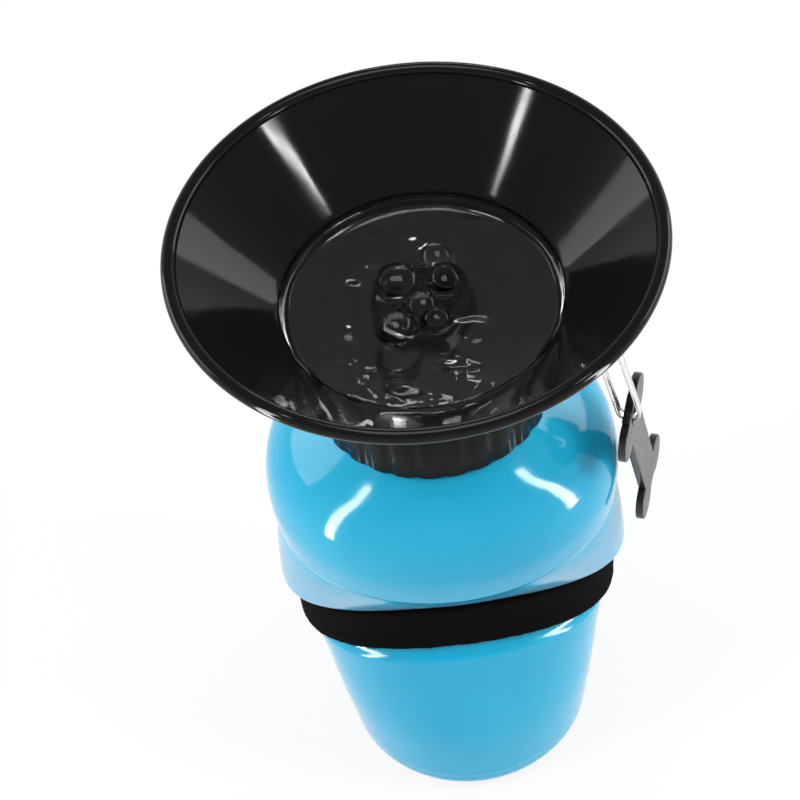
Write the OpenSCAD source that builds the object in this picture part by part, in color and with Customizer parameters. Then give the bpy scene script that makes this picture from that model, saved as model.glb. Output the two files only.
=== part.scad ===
// Travel water bottle for dogs, filled by a squeeze: a soft waisted bottle with a wide
// drinking bowl on top. Squeezing the wall drives water up the dip tube and out of the
// outlet in the bowl's floor, and letting go draws it back.
// Millimetres, +Z up, origin at the centre of the base, front towards -Y.

/* [Bottle] */
// Radius of the round base above its rolled corner
base_r = 35.6; // [33:0.2:38]
// Radius of the rolled corner round the base
base_corner = 8; // [5:0.5:10]
// Height at which the lower body ends and the waist begins
waist_z = 56; // [50:0.5:58]
// Half width of the bottle, side to side, at the top of the lower body
lower_half_width = 43; // [40:0.5:46]
// Half depth of the bottle, front to back, at the top of the lower body
lower_half_depth = 34; // [31:0.5:40]
// Half width of the waist under the hand strap
waist_half_width = 43.4; // [40:0.5:44]
// Half depth of the waist under the hand strap
waist_half_depth = 28.6; // [26:0.2:36]
// How much higher the waist runs at the front and back than at the sides
waist_rise = 15; // [10:1:18]
// Half width of the skirt that overhangs the waist
skirt_half_width = 49.4; // [48:0.2:52]
// Half depth of the skirt that overhangs the waist
skirt_half_depth = 31.4; // [31:0.2:38]
// Height of the crease round the front and back, above the skirt
crease_z = 102.5; // [98:0.5:104]
// Half width at the crease
crease_half_width = 47.6; // [46:0.2:49]
// Half depth at the crease
crease_half_depth = 40; // [38:0.5:45]
// Height of the widest ring of the shoulder
shoulder_z = 116; // [112:0.5:120]
// Half width of the shoulder at its widest ring
shoulder_half_width = 48.7; // [47:0.1:50]
// Half depth of the shoulder at its widest ring
shoulder_half_depth = 42.8; // [41:0.2:48]
// Height of the flat land round the neck
land_z = 146.9; // [144:0.1:150]
// Thickness of the soft wall
wall = 1.7; // [1.3:0.1:1.9]

/* [Neck and thread] */
// Outer radius of the neck
neck_r = 26.5; // [24:0.1:27]
// Wall of the neck
neck_wall = 2; // [1.6:0.1:2.5]
// Height of the neck above the land
neck_h = 17.8; // [16:0.1:20]
// Rise of the thread in one turn
thread_pitch = 4; // [3.6:0.1:5]
// Turns of thread on the neck, and in the collar
thread_turns = 1.25; // [1:0.05:1.5]
// Height of the thread's ridge
thread_depth = 1.9; // [1.4:0.1:2]
// Width of the thread's ridge where it meets the wall
thread_width = 1.7; // [1.2:0.1:1.8]

/* [Screw collar] */
// Thickness of the collar's wall over its ribs
collar_wall = 2.7; // [2:0.1:5]
// Clear radius of the collar's wall outside the neck's wall
collar_room = 2.5; // [2.3:0.1:3]
// Number of flutes round the collar
flute_count = 28; // [20:1:36]
// Radius of one flute's cutter
flute_r = 4.4; // [3.5:0.1:6]
// Depth of one flute
flute_depth = 0.45; // [0.2:0.05:1]
// Thickness of the lip that pulls the bowl down
lip_t = 2.1; // [1.6:0.1:3]
// How far the lip catches the stem's flange, once it has snapped over it
lip_catch = 0.9; // [0.5:0.1:1.2]

/* [Drinking bowl] */
// Radius over the rolled rim
rim_r = 64.6; // [60:0.2:70]
// Radius of the roll at the rim
rim_roll = 2; // [1.6:0.1:2.4]
// Height from the bowl's underside to the top of the rim
bowl_h = 31; // [26:0.5:34]
// Radius inside the bowl's well
well_r = 37; // [35:0.2:38.5]
// Depth of the well below the foot of the cone
well_depth = 6.5; // [5:0.5:8]
// Thickness of the bowl's shell
shell_t = 2; // [1.6:0.1:2.4]
// Outer radius of the stem under the bowl
stem_r = 24.3; // [23:0.1:25]
// How far the stem's flange stands out under the collar's lip
flange_reach = 2.8; // [2:0.1:3]
// Thickness of the stem's flange
flange_t = 2.4; // [2:0.1:3]
// Thickness of the gasket between the neck and the bowl
gasket_t = 1.8; // [1.4:0.1:2.4]

/* [Dip tube and outlet] */
// Outer radius of the dip tube
tube_r = 4.5; // [3.5:0.1:5]
// Wall of the dip tube
tube_wall = 1.1; // [0.8:0.1:1.4]
// Gap between the tube's foot and the bottle's floor
tube_foot_gap = 3; // [2:0.5:8]
// Length of the socket that grips the tube
socket_depth = 12; // [8:1:16]
// Outer radius of the tube's holder
holder_r = 6.9; // [6.5:0.1:8]
// Radius of the holder's flange over the bowl's floor
holder_flange_r = 12.1; // [11:0.1:14]
// Thickness of the holder's flange
holder_flange_t = 1.4; // [1.2:0.1:2]
// Thickness of the ring seal under the holder's flange
seal_t = 1.6; // [1.2:0.1:2]
// Wall of the outlet cap
cap_wall = 1.4; // [1:0.1:1.8]
// Room for water between the holder and the cap
cap_room = 1.1; // [0.8:0.1:2]
// Number of holes in the outlet cap
outlet_count = 6; // [4:1:8]
// Radius of one outlet hole
outlet_r = 1.7; // [1:0.1:2]
// Radius of the circle of outlet holes
outlet_circle_r = 7.6; // [6:0.1:9]

/* [Hand strap] */
// Width of the strap
strap_w = 17.5; // [14:0.5:19]
// Thickness of the strap
strap_t = 2; // [1.4:0.1:2.6]
// Thickness of the strap's free end, where it closes over the band
end_t = 1.4; // [1:0.1:2]
// Thickness of the hook patch between the layers
hook_t = 0.9; // [0.6:0.1:1.4]
// Angle round the bottle at which the strap's free end stops
end_from = 118; // [100:1:140]
// Angle round the bottle at which the free end leaves the band
end_to = 168; // [150:1:175]

/* [Tag ring, link and tag] */
// Thickness of the ring that turns on the stem
ring_t = 2.8; // [2.4:0.1:3.4]
// Radius over the ring, without its eye
ring_r = 30; // [28:0.5:31]
// Direction of the eye round the bottle
eye_angle = -20; // [-60:1:0]
// Distance of the eye's bar from the axis
eye_reach = 48.5; // [46:0.5:52]
// Radius of the eye's bar
eye_bar_r = 1.3; // [1.1:0.1:1.4]
// Width across the eye
eye_w = 9; // [8:0.5:12]
// Half width inside the link
link_inner = 2.4; // [2.3:0.05:2.8]
// Thickness of the link's strip
link_t = 1; // [0.8:0.1:1.2]
// Width of the link's strip
link_w = 2.2; // [1.6:0.1:2.8]
// Length between the centres of the link's round ends
link_l = 23; // [18:0.2:30]
// How far the link leans out from upright
link_lean = 12; // [4:1:30]
// Length between the centres of the tag's lobes
tag_l = 50; // [40:0.5:60]
// Radius of one lobe
lobe_r = 5.8; // [5:0.1:8]
// Distance of a lobe's centre from the tag's centre line
lobe_offset = 6.6; // [5:0.1:8]
// Half width of the tag's shaft
shaft_half = 5.6; // [4:0.1:8]
// Thickness of the tag
tag_t = 2.2; // [1.8:0.1:2.4]
// Height of the bar in the tag that the link goes round
bar_h = 2.4; // [2:0.1:3]
// Height of the link's bar over the centres of the tag's upper lobes
ear_rise = 5.2; // [4:0.1:8]
// Width of the tag left on each side of the link's slot
ear_side = 1.7; // [1.2:0.1:3]
// How far the cleft between two lobes is cut in from their ends
cleft = 2.6; // [1:0.1:5]
// How far the hanging tag leans along the bottle's side
tag_lean = 20; // [0:1:22]

/* [Hidden] */
$fn = 96;

// clearances
free_gap = 0.3;
side_room = 1.4;
link_room = 2.4;
turn_gap = 0.08;
seat_gap = 0.05;
hair = 0.01;

// radii of the collar, worked out from the neck and the stem's flange inside it
flange_r = stem_r + flange_reach;
collar_bore = max(neck_r + collar_room, flange_r + free_gap);
collar_r = collar_bore + collar_wall;
lip_bore = flange_r - lip_catch;
crest_gap = collar_room - thread_depth;

// heights of the stack, from the bottle up
neck_top = land_z + neck_h;
flange_z = neck_top + gasket_t;
lip_z = flange_z + flange_t + free_gap;
collar_top = lip_z + lip_t;
collar_bottom = land_z + free_gap;
ring_z = collar_top + free_gap;
ring_mid_z = ring_z + ring_t / 2;
bowl_z = ring_z + ring_t + 2 * free_gap;
floor_z = bowl_z + shell_t;
rim_z = bowl_z + bowl_h;
cone_z = floor_z + well_depth;

// bottle loft
segments = 40;
span_steps = 3;
edge_round = 1.6;
skirt_z = waist_z + strap_w + 3 * free_gap;
shoulder_h = land_z - shoulder_z;
land_r = neck_r + collar_room - 1;
shell_mouth_r = neck_r - 1;

function catmull(a, b, c, d, t) =
    0.5 * (2 * b + (c - a) * t + (2 * a - 5 * b + 4 * c - d) * t * t + (3 * b - a - 3 * c + d) * t * t * t);

// a smooth run through stations [height, half width, half depth, rise], ends included
function smooth(s, n) = let (last = len(s) - 1)
    concat([for (i = [0:last - 1], k = [0:n - 1])
                catmull(s[max(i - 1, 0)], s[i], s[i + 1], s[min(i + 2, last)], k / n)],
           [s[last]]);

// the wall's stations from the base up: t is how far the surface lies inside the outer one
function base_stations(t) =
    [for (a = [0:30:90]) let (r = base_corner - t)
        [t + r * (1 - cos(a)), base_r - base_corner + r * sin(a), base_r - base_corner + r * sin(a), 0]];

function lower_stations(t) = smooth([
    [base_corner + 2, base_r + 0.4 - t, base_r + 0.4 - t, 0],
    [waist_z * 0.5, (base_r + lower_half_width) / 2 - 0.6 - t, (base_r + lower_half_depth) / 2 + 2.2 - t,
     waist_rise * 0.14],
    [waist_z * 0.8, lower_half_width - 2 - t, lower_half_depth + 1.4 - t, waist_rise * 0.46],
    [waist_z, lower_half_width - t, lower_half_depth - t, waist_rise * 0.76]], span_steps);

function waist_stations(t) = [
    [waist_z + edge_round, waist_half_width - t, waist_half_depth + 1.6 - t, waist_rise * 0.84],
    [waist_z + strap_w / 2, waist_half_width + 0.2 - t, waist_half_depth - t, waist_rise],
    [skirt_z - edge_round / 2 + t * 0.6, waist_half_width + 0.8 - t, waist_half_depth - t, waist_rise]];

function skirt_stations(t) = smooth([
    [skirt_z + t * 0.6, skirt_half_width - 1.4 - t, skirt_half_depth - 1.2 - t, waist_rise],
    [skirt_z + edge_round + t * 0.6, skirt_half_width - t, skirt_half_depth - t, waist_rise * 0.97],
    [(skirt_z + crease_z) / 2, (skirt_half_width + crease_half_width) / 2 + 0.4 - t,
     (skirt_half_depth + crease_half_depth) / 2 - t, waist_rise * 0.52],
    [crease_z - t * 0.3, crease_half_width - t, crease_half_depth - t, waist_rise * 0.08]], span_steps);

function shoulder_stations(t) = smooth([
    [crease_z + edge_round, crease_half_width + 0.25 - t, crease_half_depth + 0.8 - t, waist_rise * 0.06],
    [shoulder_z - t * 0.1, shoulder_half_width - t, shoulder_half_depth - t, 0],
    [shoulder_z + shoulder_h * 0.36 - t * 0.3, shoulder_half_width - 1.7 - t,
     shoulder_half_depth - 0.7 - t, 0],
    [shoulder_z + shoulder_h * 0.62 - t * 0.7, shoulder_half_width - 6.3 - t * 0.8,
     shoulder_half_depth - 3.6 - t * 0.8, 0],
    [shoulder_z + shoulder_h * 0.83 - t * 0.85, land_r + 7.4 - t * 0.6, land_r + 6.8 - t * 0.6, 0],
    [land_z - 0.9 - t, land_r + 2.6 - t * 0.4, land_r + 2.6 - t * 0.4, 0]], span_steps - 1);

function wall_stations(t) = concat(base_stations(t), lower_stations(t), waist_stations(t),
                                   skirt_stations(t), shoulder_stations(t));

function ring_points(s) = [for (k = [0:segments - 1]) let (a = 360 * k / segments)
    [s[1] * cos(a), s[2] * sin(a), s[0] + s[3] * sin(a) * sin(a)]];

// a closed tube of rings, each ring joined to the next and the last to the first
module looped_rings(rings) {
    n = len(rings[0]);
    m = len(rings);
    points = [for (r = rings) for (p = r) p];
    faces = [for (i = [0:m - 1], k = [0:n - 1])
        let (j = (i + 1) % m, q = (k + 1) % n, a = i * n + k, b = i * n + q, c = j * n + q, d = j * n + k)
        each [[a, d, c], [a, c, b]]];
    polyhedron(points, faces);
}

// a stack of rings with a flat cap at each end
module capped_rings(rings) {
    n = len(rings[0]);
    m = len(rings);
    points = [for (r = rings) for (p = r) p];
    sides = [for (i = [0:m - 2], k = [0:n - 1])
        let (q = (k + 1) % n, a = i * n + k, b = i * n + q, c = (i + 1) * n + q, d = (i + 1) * n + k)
        each [[a, d, c], [a, c, b]]];
    polyhedron(points, concat([[for (k = [0:n - 1]) k]],
                              sides, [[for (k = [n - 1:-1:0]) (m - 1) * n + k]]));
}

// the shell as one skin: up the outside, over the land, down the inside and across the floor
module bottle_shell() {
    outer = wall_stations(0);
    inner = wall_stations(wall);
    land = [[land_z, land_r, land_r, 0], [land_z, shell_mouth_r, shell_mouth_r, 0]];
    mouth = [[land_z - wall, shell_mouth_r, shell_mouth_r, 0]];
    down = [for (i = [len(inner) - 1:-1:0]) inner[i]];
    capped_rings([for (s = concat(outer, land, mouth, down)) ring_points(s)]);
}

// a helical ridge on radius r: positive depth stands outwards, negative inwards
module thread(r, z, depth, start) {
    steps = 24;
    count = round(steps * thread_turns);
    root = r - sign(depth) * thread_root;
    crest = r + depth;
    rings = [for (i = [0:count])
        let (a = start + 360 * i / steps, zc = z + thread_pitch * i / steps,
             taper = min(1, min(i, count - i) / 2 + 0.12), tip = root + (crest - root) * taper,
             half = thread_width / 2)
        [for (p = [[root, -half], [tip, -half * 0.5], [tip, half * 0.5], [root, half]])
            [p[0] * cos(a), p[0] * sin(a), zc + p[1]]]];
    if (depth < 0) capped_rings(rings);
    else capped_rings([for (c = rings) [c[3], c[2], c[1], c[0]]]);
}

thread_z = land_z + 5;
thread_start = 200;
thread_root = 0.8;

module tube(r, bore, z, h) {
    translate([0, 0, z]) difference() {
        cylinder(r = r, h = h);
        translate([0, 0, -1]) cylinder(r = bore, h = h + 2);
    }
}

module bottle_body() {
    color([0.2, 0.68, 0.86, 0.6]) union() {
        bottle_shell();
        tube(neck_r, neck_r - neck_wall, land_z - 1, neck_h + 1);
        thread(neck_r, thread_z, thread_depth, thread_start);
    }
}

// the strap's path round the waist, pushed out by t and shifted up by z
function strap_point(a, z, t) = let (f = z / strap_w, lift = waist_rise * (0.84 + 0.16 * min(1, 2 * f)),
        in = f < 0.5 ? 1.6 * (1 - 2 * f) : 0)
    [(waist_half_width + 0.7 * f + free_gap + t) * cos(a),
     (waist_half_depth + in + free_gap + t) * sin(a),
     waist_z + 2 * free_gap + z + lift * sin(a) * sin(a)];

strap_low = edge_round;
strap_high = strap_w - edge_round / 2;
strap_step = 360 / segments;

// a point on the flat section between the strap's edges
function on_strap(a, z, t) = let (k = (z - strap_low) / (strap_high - strap_low))
    (1 - k) * strap_point(a, strap_low, t) + k * strap_point(a, strap_high, t);

function shifted_section(a, low, high, t0, t1) =
    [on_strap(a, low, t0), on_strap(a, low, t1), on_strap(a, high, t1), on_strap(a, high, t0)];

module hand_strap() {
    color([0.06, 0.06, 0.06])
        looped_rings([for (k = [0:segments - 1])
            shifted_section(-strap_step * k, strap_low, strap_high, 0, strap_t)]);
}

patch_t0 = strap_t + seat_gap;
patch_t1 = patch_t0 + hook_t;
end_t0 = patch_t1 + seat_gap;
patch_inset = 6;
patch_edge = 2;

// the patch bends only where the strap under it does, so that their faces run side by side
module strap_hook_patch() {
    first = ceil((end_from + patch_inset) / strap_step);
    last = floor((end_to - patch_inset) / strap_step);
    color([0.1, 0.1, 0.1])
        capped_rings([for (k = [last:-1:first])
            shifted_section(k * strap_step, strap_low + patch_edge, strap_high - patch_edge,
                            patch_t0, patch_t1)]);
}

end_angles = concat([end_to],
    [for (k = [ceil(end_to / strap_step) - 1:-1:floor(end_from / strap_step) + 1]) k * strap_step],
    [end_from]);

module strap_free_end() {
    color([0.06, 0.06, 0.06])
        capped_rings([for (a = end_angles)
            shifted_section(a, strap_low, strap_high, end_t0, end_t0 + end_t)]);
}

module screw_collar() {
    color([0.08, 0.08, 0.085]) union() {
        difference() {
            translate([0, 0, collar_bottom]) cylinder(r = collar_r, h = collar_top - collar_bottom);
            translate([0, 0, collar_bottom - 1]) cylinder(r = collar_bore, h = lip_z - collar_bottom + 1);
            translate([0, 0, lip_z - 1]) cylinder(r = lip_bore, h = lip_t + 2);
            for (k = [0:flute_count - 1]) rotate(360 * k / flute_count)
                translate([collar_r + flute_r - flute_depth, 0, collar_bottom - 1])
                    cylinder(r = flute_r, h = collar_top - collar_bottom + 2, $fn = 32);
        }
        thread(collar_bore, thread_z - thread_pitch / 2, neck_r + crest_gap - collar_bore, thread_start);
    }
}

// a quarter turn of points about a centre, for rounded corners in a profile
function arc(c, r, from, to, n) = [for (i = [0:n]) let (a = from + (to - from) * i / n)
    [c[0] + r * cos(a), c[1] + r * sin(a)]];

module drinking_bowl() {
    hole_r = holder_r + free_gap / 2;
    inside_foot = 3;
    roll_c = [rim_r - rim_roll, rim_z - rim_roll];
    lip_in = rim_r - 2 * rim_roll;
    outline = concat(
        [[stem_r - shell_t, bowl_z], [stem_r - shell_t, flange_z], [flange_r, flange_z],
         [flange_r, flange_z + flange_t], [stem_r, flange_z + flange_t], [stem_r, bowl_z]],
        arc([well_r - inside_foot, bowl_z + inside_foot + shell_t], inside_foot + shell_t, -90, 0, 6),
        [[well_r + shell_t, cone_z - 0.4]],
        [[rim_r - 2.2 * rim_roll, rim_z - 2.6 * rim_roll], [rim_r - 1.4 * rim_roll, rim_z - 1.9 * rim_roll]],
        arc(roll_c, rim_roll, -90, 180, 12),
        [[well_r + 1.5, cone_z + 0.9]],
        [[well_r, cone_z - 0.8]],
        arc([well_r - inside_foot, floor_z + inside_foot], inside_foot, 0, -90, 5),
        [[hole_r, floor_z], [hole_r, bowl_z]]);
    color([0.07, 0.07, 0.075]) rotate_extrude($fn = 128) polygon(outline);
}

module bowl_gasket() {
    color([0.75, 0.75, 0.73])
        tube(neck_r - 0.2, neck_r - neck_wall - 1.6, neck_top + hair, gasket_t - 2 * hair);
}

holder_seat = floor_z + seal_t;
tube_top = holder_seat - 4;
socket_z = tube_top - socket_depth;

module tube_holder() {
    flow_r = tube_r - tube_wall;
    color([0.1, 0.1, 0.105]) difference() {
        union() {
            translate([0, 0, socket_z]) cylinder(r = holder_r, h = holder_seat - socket_z + hair);
            translate([0, 0, holder_seat]) cylinder(r = holder_flange_r, h = holder_flange_t);
            translate([0, 0, bowl_z - 1.6])
                cylinder(r1 = holder_r, r2 = holder_r + 0.7, h = 1.5);
        }
        translate([0, 0, socket_z - 1])
            cylinder(r = flow_r, h = holder_seat - socket_z + holder_flange_t + 2);
        translate([0, 0, socket_z - 1]) cylinder(r = tube_r + seat_gap, h = socket_depth + 1);
    }
}

module holder_seal() {
    color([0.6, 0.6, 0.6]) rotate_extrude($fn = 64)
        translate([holder_r + seal_t / 2 + free_gap, floor_z + seal_t / 2])
            circle(r = seal_t / 2 - hair, $fn = 24);
}

module dip_tube() {
    foot = wall + tube_foot_gap;
    notch = tube_r * 0.8;
    color([0.85, 0.9, 0.92, 0.7]) difference() {
        tube(tube_r, tube_r - tube_wall, foot, tube_top - foot - hair);
        for (a = [0, 90]) rotate(a) translate([0, 0, foot]) rotate([0, 45, 0])
            cube([notch, 4 * tube_r, notch], center = true);
    }
}

module outlet_cap() {
    skirt_r = holder_flange_r + seat_gap;
    cap_r = skirt_r + cap_wall;
    room_z = holder_seat + holder_flange_t + cap_room;
    edge = 2.4;
    cap_top = room_z + cap_wall;
    color([0.09, 0.09, 0.095]) difference() {
        rotate_extrude() polygon(concat(
            [[0, room_z], [skirt_r - 1, room_z], [skirt_r, room_z - 1], [skirt_r, floor_z + hair],
             [cap_r, floor_z + hair]],
            arc([cap_r - edge, cap_top - edge], edge, 0, 90, 6), [[0, cap_top]]));
        for (k = [0:outlet_count - 1]) rotate(360 * (k + 0.5) / outlet_count)
            translate([outlet_circle_r, 0, room_z - 1]) cylinder(r = outlet_r, h = cap_wall + 2, $fn = 32);
    }
}

// a flat ring with a window in its ear, and a round bar across the ear's end
module tag_ring() {
    bore = stem_r + turn_gap;
    window_w = link_w + 2 * side_room;
    window_in = eye_reach - link_inner - link_t - link_room;
    color([0.1, 0.1, 0.1]) union() {
        difference() {
            union() {
                translate([0, 0, ring_z]) cylinder(r = ring_r, h = ring_t);
                rotate(eye_angle) translate([0, -eye_w / 2, ring_z]) cube([eye_reach, eye_w, ring_t]);
            }
            translate([0, 0, ring_z - 1]) cylinder(r = bore, h = ring_t + 2);
            rotate(eye_angle) translate([window_in, -window_w / 2, ring_z - 1])
                cube([eye_reach - window_in + 1, window_w, ring_t + 2]);
        }
        rotate(eye_angle) translate([eye_reach, eye_w / 2, ring_mid_z]) rotate([90, 0, 0])
            cylinder(r = eye_bar_r, h = eye_w);
    }
}

// the link hangs in the upright plane through the eye: x runs outwards and z up
link_drop = link_inner - eye_bar_r - seat_gap;
link_foot = link_drop + link_l;

module on_link() {
    rotate(eye_angle) translate([eye_reach, 0, ring_mid_z]) rotate([0, -link_lean, 0]) children();
}

module wire_link() {
    outer = link_inner + link_t;
    color([0.82, 0.82, 0.84]) on_link() rotate([90, 0, 0])
        translate([0, 0, -link_w / 2]) linear_extrude(link_w) difference() {
            union() {
                for (y = [-link_drop, -link_foot]) translate([0, y]) circle(r = outer);
                translate([-outer, -link_foot]) square([2 * outer, link_l]);
            }
            for (y = [-link_drop, -link_foot]) translate([0, y]) circle(r = link_inner);
            translate([-link_inner, -link_foot]) square([2 * link_inner, link_l]);
        }
}

// the tag hangs from the bar over the slot in its ear
slot_h = link_inner + link_t + 3 * free_gap - bar_h / 2;
slot_w = link_w + 2 * side_room;
end_fill = lobe_r - cleft;
hang_x = eye_reach + link_foot * sin(link_lean);
hang_z = ring_mid_z - link_foot * cos(link_lean);

module tag_outline() {
    difference() {
        union() {
            for (x = [-1, 1], y = [-1, 1]) translate([x * lobe_offset, y * tag_l / 2]) circle(r = lobe_r);
            for (y = [-1, 1]) translate([0, y * (tag_l + end_fill) / 2])
                square([2 * lobe_offset, end_fill], center = true);
            square([2 * shaft_half, tag_l], center = true);
            translate([-slot_w / 2 - ear_side, tag_l / 2])
                square([slot_w + 2 * ear_side, ear_rise + bar_h / 2]);
        }
        translate([-slot_w / 2, tag_l / 2 + ear_rise - bar_h / 2 - slot_h]) square([slot_w, slot_h]);
    }
}

module bone_tag() {
    color([0.32, 0.32, 0.33]) rotate(eye_angle) translate([hang_x, 0, hang_z])
        rotate([tag_lean, 0, 0]) rotate([90, 0, 90])
            translate([0, -tag_l / 2 - ear_rise, -tag_t / 2]) linear_extrude(tag_t) tag_outline();
}

bottle_body();
hand_strap();
strap_hook_patch();
strap_free_end();
screw_collar();
drinking_bowl();
bowl_gasket();
tube_holder();
holder_seal();
dip_tube();
outlet_cap();
tag_ring();
wire_link();
bone_tag();
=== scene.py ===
"""Travel water bottle for dogs: the finished look of each piece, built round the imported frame.

Every size is in metres, in the frame's own axes: +Z up, the front towards -Y.
"""
import math
import random

import bmesh
import bpy
from mathutils import Matrix, Vector, noise


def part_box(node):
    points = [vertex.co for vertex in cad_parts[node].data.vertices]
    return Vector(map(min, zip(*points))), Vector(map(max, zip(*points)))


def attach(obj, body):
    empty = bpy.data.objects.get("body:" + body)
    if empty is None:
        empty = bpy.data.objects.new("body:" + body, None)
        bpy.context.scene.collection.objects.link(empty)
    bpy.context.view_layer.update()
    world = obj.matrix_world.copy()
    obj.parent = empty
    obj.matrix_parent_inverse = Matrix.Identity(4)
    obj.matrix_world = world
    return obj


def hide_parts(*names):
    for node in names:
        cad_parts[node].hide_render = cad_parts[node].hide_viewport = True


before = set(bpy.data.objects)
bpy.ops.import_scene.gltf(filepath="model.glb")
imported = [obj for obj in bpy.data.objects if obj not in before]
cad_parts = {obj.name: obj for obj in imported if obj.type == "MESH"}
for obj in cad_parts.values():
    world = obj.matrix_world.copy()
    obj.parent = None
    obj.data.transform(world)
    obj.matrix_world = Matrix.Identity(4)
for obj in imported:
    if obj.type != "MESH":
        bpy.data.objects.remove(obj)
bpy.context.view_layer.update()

bl_info = {
    "name": "Dog travel water bottle",
    "version": (1, 0, 0),
    "blender": (4, 5, 0),
    "location": "View3D > Sidebar > Dog Bottle",
    "description": "Builds the finished pieces of a squeezable dog water bottle round its frame",
    "category": "Add Mesh",
}

MM = 0.001
TURN = 2 * math.pi


# ---------------------------------------------------------------- settings

def size(name, description, default):
    """A length that the user may change, given in millimetres."""
    return bpy.props.FloatProperty(name=name, description=description, default=default * MM,
                                   min=0, precision=4, unit="LENGTH")


def colour(name, description, default):
    """A colour that the user may change."""
    return bpy.props.FloatVectorProperty(name=name, description=description, default=default,
                                         size=3, min=0, max=1, subtype="COLOR")


class BottleSizes(bpy.types.PropertyGroup):
    """Sizes of the soft bottle, as in the part's source."""
    base_r: size("Base radius", "Radius of the round base above its rolled corner", 35.6)
    base_corner: size("Base corner", "Radius of the rolled corner round the base", 8)
    waist_z: size("Waist height", "Height at which the waist begins", 56)
    lower_half_width: size("Lower half width", "Half width at the top of the lower body", 43)
    lower_half_depth: size("Lower half depth", "Half depth at the top of the lower body", 34)
    waist_half_width: size("Waist half width", "Half width of the waist under the strap", 43.4)
    waist_half_depth: size("Waist half depth", "Half depth of the waist under the strap", 28.6)
    waist_rise: size("Waist rise", "How much higher the waist runs at the front and back", 15)
    skirt_half_width: size("Skirt half width", "Half width of the skirt over the waist", 49.4)
    skirt_half_depth: size("Skirt half depth", "Half depth of the skirt over the waist", 31.4)
    crease_z: size("Crease height", "Height of the crease above the skirt", 102.5)
    crease_half_width: size("Crease half width", "Half width at the crease", 47.6)
    crease_half_depth: size("Crease half depth", "Half depth at the crease", 40)
    shoulder_z: size("Shoulder height", "Height of the shoulder's widest ring", 116)
    shoulder_half_width: size("Shoulder half width", "Half width of the shoulder", 48.7)
    shoulder_half_depth: size("Shoulder half depth", "Half depth of the shoulder", 42.8)
    land_z: size("Land height", "Height of the flat land round the neck", 146.9)
    wall: size("Wall", "Thickness of the soft wall", 1.7)
    neck_r: size("Neck radius", "Outer radius of the neck", 26.5)
    neck_wall: size("Neck wall", "Wall of the neck", 2)
    neck_h: size("Neck height", "Height of the neck above the land", 17.8)
    thread_pitch: size("Thread pitch", "Rise of the thread in one turn", 4)
    thread_depth: size("Thread depth", "Height of the thread's ridge", 1.9)
    thread_width: size("Thread width", "Width of the ridge where it meets the wall", 1.7)


class CollarSizes(bpy.types.PropertyGroup):
    """Sizes of the screw collar."""
    room: size("Room", "Clear radius of the collar's wall outside the neck's wall", 2.5)
    lip_t: size("Lip", "Thickness of the lip that pulls the bowl down", 2.1)
    lip_catch: size("Lip catch", "How far the lip stands in over the stem's flange", 0.9)
    wall: size("Wall", "Thickness of the collar's wall without its flutes", 2.7)
    flute_depth: size("Flute depth", "Depth of one flute", 0.45)
    flute_r: size("Flute radius", "Radius of one flute's cutter", 4.4)
    edge: size("Edge", "Rounding of the collar's edges", 0.7)
    flute_count: bpy.props.IntProperty(name="Flutes", description="Number of flutes round the collar",
                                       default=28, min=8, max=60)


class BowlSizes(bpy.types.PropertyGroup):
    """Sizes of the drinking bowl and of the water in it."""
    rim_roll: size("Rim roll", "Radius of the roll at the rim", 2)
    well_r: size("Well radius", "Radius inside the bowl's well", 37)
    well_depth: size("Well depth", "Depth of the well below the foot of the cone", 6.5)
    shell_t: size("Shell", "Thickness of the bowl's shell", 2)
    inside_foot: size("Well corner", "Radius of the corner round the well's floor", 3)
    stem_r: size("Stem radius", "Outer radius of the stem under the bowl", 24.3)
    flange_reach: size("Flange reach", "How far the stem's flange stands out", 2.8)
    flange_t: size("Flange", "Thickness of the stem's flange", 2.4)
    hole_r: size("Hole radius", "Radius of the hole for the tube's holder", 7.05)
    gasket_t: size("Gasket", "Thickness of the gasket under the flange", 1.8)
    water_depth: size("Water depth", "Depth of the water over the bowl's floor", 6.4)
    show_water: bpy.props.BoolProperty(name="Water", description="Fill the bowl's well with water",
                                       default=True)


class StrapSizes(bpy.types.PropertyGroup):
    """Sizes of the hand strap."""
    width: size("Width", "Width of the groove that the strap lies in", 17.5)
    thickness: size("Thickness", "Thickness of the strap", 2)
    end_thickness: size("End thickness", "Thickness of the strap's free end", 1.4)
    hook_thickness: size("Hook patch", "Thickness of the hook patch", 0.9)
    edge_round: size("Edge", "How far the strap's edges stand inside the groove", 1.6)
    fibre: size("Fibre", "Longest fibre at the strap's edges", 0.9)


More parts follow.
